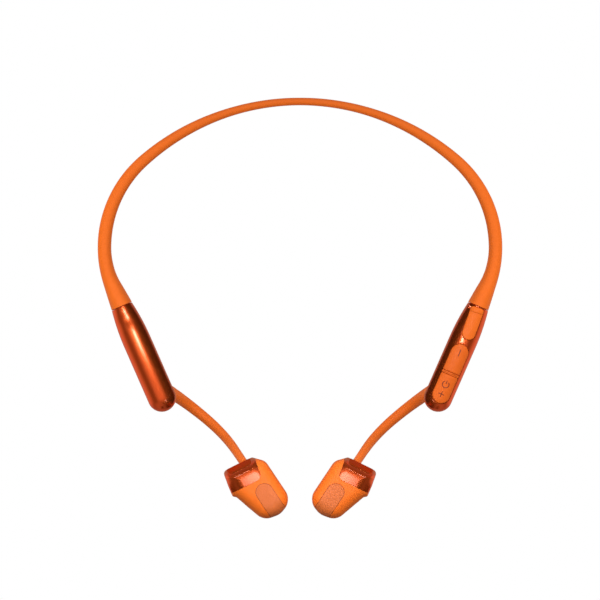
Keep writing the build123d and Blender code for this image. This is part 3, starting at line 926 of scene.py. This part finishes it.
hook = lofted("left_hook_sleeve_form", hook_rings())
right_hook = mirrored(hook, "right_hook_sleeve_form")
finished(hook, "silicone", replaces="left_hook_sleeve", angle=45)
finished(right_hook, "silicone", replaces="right_hook_sleeve", angle=45)


# ---------------------------------------------------------------- pods
def pod_half(name, bottom, top, dip=0.0):
    """Upper or lower half of the hollow left pod."""
    pod = with_cavity(housing_solid(name, 0.0, dip), housing_solid("cavity", HOUSING_WALL))
    return cut(pod, slab("half", bottom, top), "INTERSECT")


lid = pod_half("left_housing_lid_form", HOUSING_MIDDLE, 30)
shell = pod_half("left_housing_shell_form", -5, HOUSING_MIDDLE, DIP_DEPTH)
plain_shell = pod_half("plain_shell", -5, HOUSING_MIDDLE)
right_shell = mirrored(plain_shell, "right_housing_shell_form")
bpy.data.objects.remove(plain_shell)
bevelled(lid)
right_lid = mirrored(lid, "right_housing_lid_form")

port_start, port_length, port_width, port_side = PORT
port_corners = round_corners(
    port_start, port_start + port_length, port_side, port_width / 2, round_start=False, corner=1.1
)
port_rim = [port_place(*place) for place in rounded_outline(port_corners, -GAP)]
cut(right_shell, upright("port_hole", port_rim, 0, HOLE_TOP))
pill_start, pill_length, pill_width, pill_side = PILL
pill_end = pill_start + pill_length
pill_corners = round_corners(pill_start, pill_end, pill_side, pill_width / 2)
cut(right_shell, upright("pill_hole", rounded_outline(pill_corners, -GAP), 0, HOLE_TOP))
cut(right_shell, upright("notch", arc_places(NOTCH_PLACE, NOTCH_RADII), 0, NOTCH_TOP))
bevelled(shell)
bevelled(right_shell)
for obj, node in (
    (shell, "left_housing_shell"),
    (lid, "left_housing_lid"),
    (right_shell, "right_housing_shell"),
    (right_lid, "right_housing_lid"),
):
    finished(obj, "gloss_shell", replaces=node, angle=40)


# ---------------------------------------------------------------- port flap
def flap_lip(along, outward):
    """How proud the slightly curved grip ridge at the flap's free end stands."""
    width = LIP_WIDTH - 0.1 * ((outward - port_side) / port_width * 2) ** 2
    before_end = port_start + width + LIP_FADE - along
    return LIP_HEIGHT * ease(along - port_start, 0.2, 0.8) * ease(before_end, 0.0, LIP_FADE)


flap = pad(
    "port_cover_form", port_corners, reach=port_width / 2 - 0.12, thickness=1.0,
    proud=0.02, edge=0.35, place=port_place, bump=flap_lip,
)
port_middle = port_start + port_length / 2
boss_corners = round_corners(
    port_middle - BOSS_HALF_LENGTH, port_middle + BOSS_HALF_LENGTH, port_side, BOSS_HALF_WIDTH
)
boss_rim = [port_place(*place) for place in rounded_outline(boss_corners)]
cut(flap, upright("boss", boss_rim, *BOSS_HEIGHTS), "UNION")
finished(flap, "silicone", "port_flap", "port_cover")

# ---------------------------------------------------------------- volume keys
middle = pill_start + pill_length / 2
half = pill_width / 2
edge_gap = BAR_HALF + 0.1
key_shape = dict(reach=half - 0.15, thickness=1.0, proud=0.12, edge=0.45)
down_key = pad(
    "volume_down_key_form",
    round_corners(pill_start, middle - edge_gap, pill_side, half, round_end=False),
    **key_shape,
)
up_key = pad(
    "volume_up_power_key_form",
    round_corners(middle + edge_gap, pill_end, pill_side, half, round_start=False),
    **key_shape,
)


def block_corners(start, end, half_width, corner):
    """Corners of a block below the keys, along the pod."""
    return round_corners(start, end, pill_side, half_width, False, False, corner)


bar = pad(
    "key_frame_form",
    block_corners(middle - BAR_HALF, middle + BAR_HALF, half - 0.02, 0.1),
    reach=BAR_HALF - 0.06, thickness=1.2, proud=0.1, edge=0.15,
)
foot_rim = rounded_outline(block_corners(middle - BAR_HALF, middle + BAR_HALF, 1.2, 0.1))
seat_rim = rounded_outline(block_corners(pill_start - 0.8, pill_end - 1.2, 2.2, 0.4))
cut(bar, upright("foot", foot_rim, *STEM_HEIGHTS), "UNION")
cut(bar, upright("seat", seat_rim, *SEAT_HEIGHTS), "UNION")
for key, node, body, key_middle in (
    (down_key, "volume_down_key", "volume_down", (pill_start + middle - edge_gap) / 2),
    (up_key, "volume_up_power_key", "volume_up_power", (middle + edge_gap + pill_end) / 2),
):
    stem_place = (key_middle, pill_side)
    stem_rim = arc_places(stem_place, (STEM_RADIUS, STEM_RADIUS))
    hole_rim = arc_places(stem_place, (STEM_RADIUS + 0.2, STEM_RADIUS + 0.2))
    cut(bar, upright("hole", hole_rim, *STEM_HOLE_HEIGHTS))
    cut(key, upright("stem", stem_rim, *STEM_HEIGHTS), "UNION")
    finished(key, "key", body, node)
finished(bar, "key", "root", "key_frame")

icon_side = pill_side - 0.05
minus = [line((pill_start + 2.0, icon_side), (pill_start + 4.5, icon_side))]
plus_along, plus_side = pill_start + 19.4, pill_side - 0.1
plus = [
    line((plus_along - 1.1, plus_side), (plus_along + 1.1, plus_side)),
    line((plus_along, plus_side - 1.1), (plus_along, plus_side + 1.1)),
]
power_along = pill_start + 15.6
power = [
    arc_places((power_along, icon_side), (1.2, 1.2), 215, 506, 10),
    line((power_along - 1.5, icon_side), (power_along - 0.2, icon_side)),
]
for name, lines, body in (
    ("icon_minus", minus, "volume_down"),
    ("icon_plus", plus, "volume_up_power"),
    ("icon_power", power, "volume_up_power"),
):
    finished(icon(name, lines), "key", body, made=ICON)

# ---------------------------------------------------------------- transducers
whole = with_cavity(
    transducer_solid("left_transducer_skin_form"), transducer_solid("hollow", SKIN_WALL)
)
cap = cut(copy_of(whole, "left_transducer_cap_form"), cap_column("cap_region"), "INTERSECT")
grille_region = grille_column("grille_region", GAP / 2)
grille = cut(copy_of(whole, "left_vent_grille_form"), grille_region, "INTERSECT")
skin = cut(whole, cap_column("cap_region_wide", 0.04))
cut(skin, grille_column("grille_hole", -GAP / 2))
plate = side_pad(
    "left_transducer_plate_form", corners=(0, 1), shift=0.4, middle_z=6.9, length=9.5,
    height=9.2, radius=2.2, proud=0.16, edge=0.3, depth=1.0,
)
right_skin = mirrored(skin, "right_transducer_skin_form")
button_place = dict(corners=(5, 6), shift=-0.3, middle_z=8.2)
button = side_pad(
    "multifunction_button_form", length=9.0, height=7.0, radius=3.0, proud=0.06, edge=0.3,
    depth=1.4, **button_place,
)
button_hole = side_pad(
    "button_hole", length=9.0 + 2 * GAP, height=7.0 + 2 * GAP, radius=3.1, proud=1.0, edge=0.05,
    depth=3.0, **button_place,
)
cut(skin, button_hole)
for obj, node, slot in (
    (cap, "transducer_cap", "gloss_shell"),
    (grille, "vent_grille", "grille"),
    (plate, "transducer_plate", "trim"),
):
    right = mirrored(obj, f"right_{node}_form")
    finished(obj, slot, replaces=f"left_{node}", angle=40)
    finished(right, slot, replaces=f"right_{node}", angle=40)
for obj, node in ((skin, "left_transducer_skin"), (right_skin, "right_transducer_skin")):
    finished(obj, "silicone", replaces=node, angle=40)
finished(button, "silicone", "multifunction", "multifunction_button")

# ---------------------------------------------------------------- the CAD nodes that stay
stood_for = {name for obj in bpy.data.objects for name in obj.get("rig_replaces", [])}
node_slots = {row["node"]: row["material_slot"] for row in frame["record"]["subparts"]}
for name, obj in frame["nodes"].items():
    if name in stood_for:
        continue
    obj.data.materials.clear()
    obj.data.materials.append(SLOTS[node_slots[name]])

# ---------------------------------------------------------------- stage, light and camera
FLOOR_PLACE = (0, 0, -1.75)  # metres from here on: the floor lies behind the camera
CAMERA_PLACE = (0, 0.00288, -1.495)  # straight below, far off: almost no perspective
CARD_BLACK = (0.01, 0.008, 0.006, 1)
FADE_HEIGHTS = (-0.12, 0.0)  # where the middle card begins to be seen, and is whole
PALE_BLUE = (0.75, 0.9, 1)

bpy.ops.mesh.primitive_plane_add(size=30, location=FLOOR_PLACE)
floor = bpy.context.object
floor.name = "floor"
pale = bpy.data.materials.new("floor_paint")
pale.use_nodes = True
paint = pale.node_tree.nodes["Principled BSDF"]
paint.inputs["Base Color"].default_value = (0.9, 0.9, 0.9, 1)
paint.inputs["Roughness"].default_value = 0.9
floor.data.materials.append(pale)
floor.visible_diffuse = floor.visible_glossy = floor.visible_shadow = False


def soft_light(name, location, size, power, aim=(0, 0, 0)):
    """Square light that the camera doesn't see."""
    lamp = bpy.data.lights.new(name, "AREA")
    lamp.size = size
    lamp.energy = power
    obj = bpy.data.objects.new(name, lamp)
    obj.location = location
    obj.rotation_euler = (Vector(aim) - Vector(location)).to_track_quat("-Z", "Y").to_euler()
    obj.visible_camera = False
    bpy.context.scene.collection.objects.link(obj)
    return obj


def at_share(box, side, outward, forward, below=0.0):
    """Place at shares of a node's box, from its inner rear corner, and some way below it."""
    low, high = box
    inner, outer = (low[0], high[0]) if side > 0 else (high[0], low[0])
    x = inner + (outer - inner) * outward
    return (x, high[1] + (low[1] - high[1]) * forward, low[2] - below)


SIDES = {1: "left", -1: "right"}
pods = {side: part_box(f"{label}_housing_shell") for side, label in SIDES.items()}
caps = {side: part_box(f"{label}_transducer_cap") for side, label in SIDES.items()}

soft_light("above", (0.1, -0.1, 1.3), 2.4, 11).visible_glossy = False
for side in (-1, 1):
    pod, cap = pods[side], caps[side]
    # soft light from outside, and from behind the transducers
    outer_place, outer_aim = at_share(pod, side, 4.8, -0.4, 0.12), at_share(pod, side, 0.5, 0.5)
    outer = soft_light(f"outer_{side}", outer_place, 0.08, 0.13, outer_aim)
    rear_place, rear_aim = at_share(cap, side, -0.3, -0.6, 0.04), at_share(cap, side, 0.15, 0.6)
    rear = soft_light(f"rear_{side}", rear_place, 0.024, 0.007, rear_aim)
    outer.visible_glossy = rear.visible_glossy = False
    # soft boxes below the glossy shells, that only make the pale glow on them
    for name, box, shares, power in (
        ("pod", pod, (0.38, 0.24), 0.006),
        ("cap", cap, (0.1, 0.5), 0.0024),
    ):
        below, above = at_share(box, side, *shares, 0.04), at_share(box, side, *shares)
        glow_box = soft_light(f"{name}_{side}", below, 0.011, power, above)
        glow_box.data.color = PALE_BLUE
        glow_box.visible_diffuse = False

black = bpy.data.materials.new("card_black")
black.use_nodes = True
paint = black.node_tree.nodes["Principled BSDF"]
paint.inputs["Base Color"].default_value = CARD_BLACK
paint.inputs["Specular IOR Level"].default_value = 0
faded = black.copy()
faded.name = "card_faded"
tree = faded.node_tree
clear = tree.nodes.new("ShaderNodeBsdfTransparent")
place = tree.nodes.new("ShaderNodeNewGeometry")
parts = tree.nodes.new("ShaderNodeSeparateXYZ")
fade = tree.nodes.new("ShaderNodeMapRange")
fade.interpolation_type = "SMOOTHSTEP"
fade.inputs["From Min"].default_value, fade.inputs["From Max"].default_value = FADE_HEIGHTS
blend = tree.nodes.new("ShaderNodeMixShader")
tree.links.new(place.outputs["Position"], parts.inputs["Vector"])
tree.links.new(parts.outputs["Z"], fade.inputs["Value"])
tree.links.new(fade.outputs["Result"], blend.inputs["Fac"])
tree.links.new(clear.outputs["BSDF"], blend.inputs[1])
tree.links.new(tree.nodes["Principled BSDF"].outputs["BSDF"], blend.inputs[2])
tree.links.new(blend.outputs["Shader"], tree.nodes["Material Output"].inputs["Surface"])


def dark_card(name, location, aim, width, height, paint):
    """Black card facing a place, that only the reflections see."""
    bpy.ops.mesh.primitive_plane_add(size=1, location=location)
    card = bpy.context.object
    card.name = name
    card.rotation_euler = (Vector(aim) - Vector(location)).to_track_quat("Z", "Y").to_euler()
    card.scale = (width, height, 1)
    card.visible_camera = card.visible_diffuse = card.visible_shadow = False
    card.data.materials.append(paint)


# keeps the pods' inner sides dark
dark_card("card_middle", (0, -0.02, 0), (1, -0.02, 0), 0.26, 0.16, faded)
for side, label in SIDES.items():
    pod, cap = pods[side], caps[side]
    # keep the cap's outer end and the pod's rear dark
    cap_aim, pod_aim = at_share(cap, side, 0.6, 0.7), at_share(pod, side, 0.85, 0.12)
    for name, location, aim, width, height in (
        ("card_under", at_share(cap, side, 1.25, 1.37, 0.03), cap_aim, 0.022, 0.026),
        ("card_beside", at_share(cap, side, 2.2, 2.34, -0.006), cap_aim, 0.022, 0.03),
        ("card_pod", at_share(pod, side, 1.1, -0.04, 0.018), pod_aim, 0.011, 0.013),
    ):
        dark_card(f"{name}_{label}", location, aim, width, height, black)

world = bpy.data.worlds.new("studio")
bpy.context.scene.world = world
world.use_nodes = True
nodes, links = world.node_tree.nodes, world.node_tree.links
nodes.clear()
heading = nodes.new("ShaderNodeTexCoord")


def glow(direction, edge, core, strength):
    """Brightness that rises smoothly from an edge angle to a core angle round a direction."""
    aim = nodes.new("ShaderNodeVectorMath")
    aim.operation = "DOT_PRODUCT"
    aim.inputs[1].default_value = Vector(direction).normalized()
    spread = nodes.new("ShaderNodeMapRange")
    spread.interpolation_type = "SMOOTHSTEP"
    spread.inputs["From Min"].default_value = math.cos(math.radians(edge))
    spread.inputs["From Max"].default_value = math.cos(math.radians(core))
    spread.inputs["To Max"].default_value = strength
    links.new(heading.outputs["Generated"], aim.inputs[0])
    links.new(aim.outputs["Value"], spread.inputs["Value"])
    return spread.outputs["Result"]


def summed(parts, base):
    """Sum of several brightnesses and a uniform one."""
    total = None
    for part in parts:
        adding = nodes.new("ShaderNodeMath")
        adding.operation = "ADD"
        links.new(part, adding.inputs[0])
        if total is None:
            adding.inputs[1].default_value = base
        else:
            links.new(total, adding.inputs[1])
        total = adding.outputs["Value"]
    return total


def background(colour, strength):
    """Background of a colour, with a uniform or a varying strength."""
    made = nodes.new("ShaderNodeBackground")
    made.inputs["Color"].default_value = colour
    if isinstance(strength, float):
        made.inputs["Strength"].default_value = strength
    else:
        links.new(strength, made.inputs["Strength"])
    return made


mirrored_light = summed(
    (
        glow((0, 0.12, -1), 46, 4, 0.62),
        glow((1, 0, 0.5), 50, 12, 0.55),
        glow((-1, 0, 0.5), 50, 12, 0.55),
        glow((0, -1, -0.2), 60, 15, 0.3),
        glow((0, 0, 1), 75, 30, 0.28),
    ),
    0.15,
)
soft_glow = summed((glow((0, 0.8, -1), 80, 10, 0.86), glow((0, 0, 1), 100, 20, 0.4)), 0.18)

output = nodes.new("ShaderNodeOutputWorld")
seen = background((1, 1, 1, 1), 1.0)
diffuse = background((1, 1, 0.98, 1), soft_glow)
glossy = background((1, 0.6, 0.35, 1), mirrored_light)
rays = nodes.new("ShaderNodeLightPath")
lit = nodes.new("ShaderNodeMixShader")
links.new(rays.outputs["Is Glossy Ray"], lit.inputs["Fac"])
links.new(diffuse.outputs["Background"], lit.inputs[1])
links.new(glossy.outputs["Background"], lit.inputs[2])
mix = nodes.new("ShaderNodeMixShader")
links.new(rays.outputs["Is Camera Ray"], mix.inputs["Fac"])
links.new(lit.outputs["Shader"], mix.inputs[1])
links.new(seen.outputs["Background"], mix.inputs[2])
links.new(mix.outputs["Shader"], output.inputs["Surface"])

lens = bpy.data.cameras.new("camera")
lens.lens = 250
lens.sensor_width = 36
lens.clip_start, lens.clip_end = 0.05, 20
camera = bpy.data.objects.new("camera", lens)
camera.location = CAMERA_PLACE
camera.rotation_euler = (0, math.pi, 0)
bpy.context.scene.collection.objects.link(camera)
scene = bpy.context.scene
scene.camera = camera
scene.view_settings.view_transform = "Standard"
scene.view_settings.look = "None"
